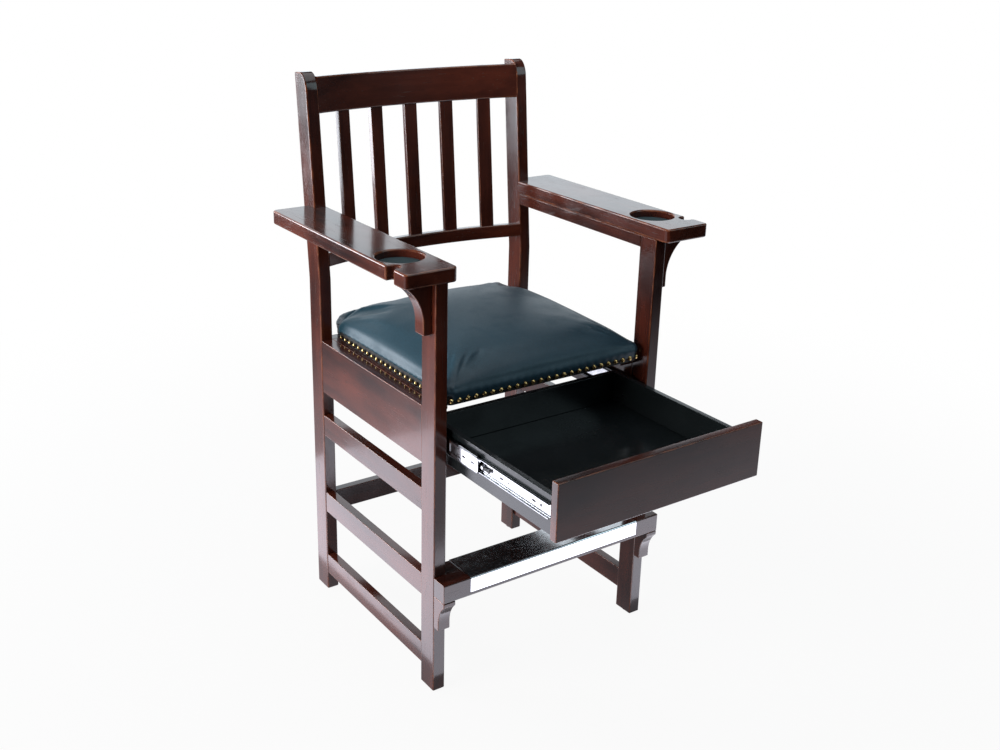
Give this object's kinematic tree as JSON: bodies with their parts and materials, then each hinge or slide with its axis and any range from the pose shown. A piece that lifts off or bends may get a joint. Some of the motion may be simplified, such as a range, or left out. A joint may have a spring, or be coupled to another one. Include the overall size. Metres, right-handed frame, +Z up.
{
  "type": "spectator chair",
  "caption": "Tall wooden armchair with a padded nailed seat, slatted bowed back, cup recesses and cue notches in its arms, a plated footrest and a drawer on ball-bearing slides.",
  "frame": {"origin": "on the floor, in the middle of the box round the chair with its drawer open as stored", "axes": "+Z up; the sitter faces -Y; the sitter's right is -X; the drawer opens along -Y"},
  "size_m": [0.726, 0.9154, 1.195],
  "materials": {
    "stained_wood": "satin-gloss dark walnut stain",
    "cup_pad": "matte",
    "seat_board": "black painted edge",
    "leather": "semi-gloss dark slate leather",
    "brass": "polished",
    "polished_steel": "polished",
    "glides": "matte",
    "zinc_steel": "bright zinc plate",
    "zinc_screws": "zinc plate",
    "ball_retainer": "plain steel",
    "drawer_box": "black lacquer",
    "latch": "black"
  },
  "bodies": {
    "frame": {"front_leg_right": "stained_wood", "front_leg_left": "stained_wood", "rear_post_right": "stained_wood", "rear_post_left": "stained_wood", "side_apron_right": "stained_wood", "side_apron_left": "stained_wood", "back_apron": "stained_wood", "seat_cleat_right": "stained_wood", "seat_cleat_left": "stained_wood", "upper_stretcher_right": "stained_wood", "upper_stretcher_left": "stained_wood", "middle_stretcher_right": "stained_wood", "middle_stretcher_left": "stained_wood", "lower_stretcher_right": "stained_wood", "lower_stretcher_left": "stained_wood", "back_stretcher": "stained_wood", "crest_rail": "stained_wood", "lower_back_rail": "stained_wood", "back_slat_1": "stained_wood", "back_slat_2": "stained_wood", "back_slat_3": "stained_wood", "back_slat_4": "stained_wood", "back_slat_5": "stained_wood", "arm_board_right": "stained_wood", "arm_board_left": "stained_wood", "arm_rail_right": "stained_wood", "arm_rail_left": "stained_wood", "arm_bracket_right": "stained_wood", "arm_bracket_left": "stained_wood", "cup_pad_right": "cup_pad", "cup_pad_left": "cup_pad", "seat_board": "seat_board", "seat_cushion": "leather", "seat_nails": "brass", "seat_screws": "zinc_screws", "footrest_board": "stained_wood", "footrest_plate": "polished_steel", "footrest_corbel_right": "stained_wood", "footrest_corbel_left": "stained_wood", "floor_glides": "glides", "slide_outer_right": "zinc_steel", "slide_outer_left": "zinc_steel", "slide_screws_case": "zinc_screws"},
    "drawer": {"drawer_front": "stained_wood", "drawer_side_right": "drawer_box", "drawer_side_left": "drawer_box", "drawer_back": "drawer_box", "drawer_bottom": "drawer_box", "slide_inner_right": "zinc_steel", "slide_inner_left": "zinc_steel", "slide_screws_drawer": "zinc_screws"},
    "slide_middle_right": {"slide_middle_right": "zinc_steel"},
    "ball_cage_outer_right": {"ball_cage_outer_right": "ball_retainer"},
    "ball_cage_inner_right": {"ball_cage_inner_right": "ball_retainer"},
    "slide_latch_right": {"slide_latch_right": "latch"},
    "slide_middle_left": {"slide_middle_left": "zinc_steel"},
    "ball_cage_outer_left": {"ball_cage_outer_left": "ball_retainer"},
    "ball_cage_inner_left": {"ball_cage_inner_left": "ball_retainer"},
    "slide_latch_left": {"slide_latch_left": "latch"}
  },
  "joints": [
    {"name": "drawer_slide", "type": "slide", "parent": "frame", "child": "drawer", "axis": [0, -1, 0], "range_m": [-0.337, 0.063]},
    {"name": "slide_middle_right_travel", "type": "slide", "parent": "frame", "child": "slide_middle_right", "axis": [0, -1, 0], "range_m": [-0.1685, 0.0315]},
    {"name": "ball_cage_outer_right_travel", "type": "slide", "parent": "frame", "child": "ball_cage_outer_right", "axis": [0, -1, 0], "range_m": [-0.08425, 0.01575]},
    {"name": "ball_cage_inner_right_travel", "type": "slide", "parent": "frame", "child": "ball_cage_inner_right", "axis": [0, -1, 0], "range_m": [-0.25275, 0.04725]},
    {"name": "slide_latch_right_press", "type": "hinge", "parent": "drawer", "child": "slide_latch_right", "pos_m": [-0.246, -0.22974, 0.55], "axis": [1, 0, 0], "range_deg": [0, 10], "stiffness_Nm_per_rad": 0.02},
    {"name": "slide_middle_left_travel", "type": "slide", "parent": "frame", "child": "slide_middle_left", "axis": [0, -1, 0], "range_m": [-0.1685, 0.0315]},
    {"name": "ball_cage_outer_left_travel", "type": "slide", "parent": "frame", "child": "ball_cage_outer_left", "axis": [0, -1, 0], "range_m": [-0.08425, 0.01575]},
    {"name": "ball_cage_inner_left_travel", "type": "slide", "parent": "frame", "child": "ball_cage_inner_left", "axis": [0, -1, 0], "range_m": [-0.25275, 0.04725]},
    {"name": "slide_latch_left_press", "type": "hinge", "parent": "drawer", "child": "slide_latch_left", "pos_m": [0.246, -0.22974, 0.55], "axis": [1, 0, 0], "range_deg": [-10, 0], "stiffness_Nm_per_rad": 0.02}
  ],
  "couplings": [
    {"joint": "slide_middle_right_travel", "follows": "drawer_slide", "ratio": 0.5},
    {"joint": "ball_cage_outer_right_travel", "follows": "drawer_slide", "ratio": 0.25},
    {"joint": "ball_cage_inner_right_travel", "follows": "drawer_slide", "ratio": 0.75},
    {"joint": "slide_middle_left_travel", "follows": "drawer_slide", "ratio": 0.5},
    {"joint": "ball_cage_outer_left_travel", "follows": "drawer_slide", "ratio": 0.25},
    {"joint": "ball_cage_inner_left_travel", "follows": "drawer_slide", "ratio": 0.75}
  ]
}
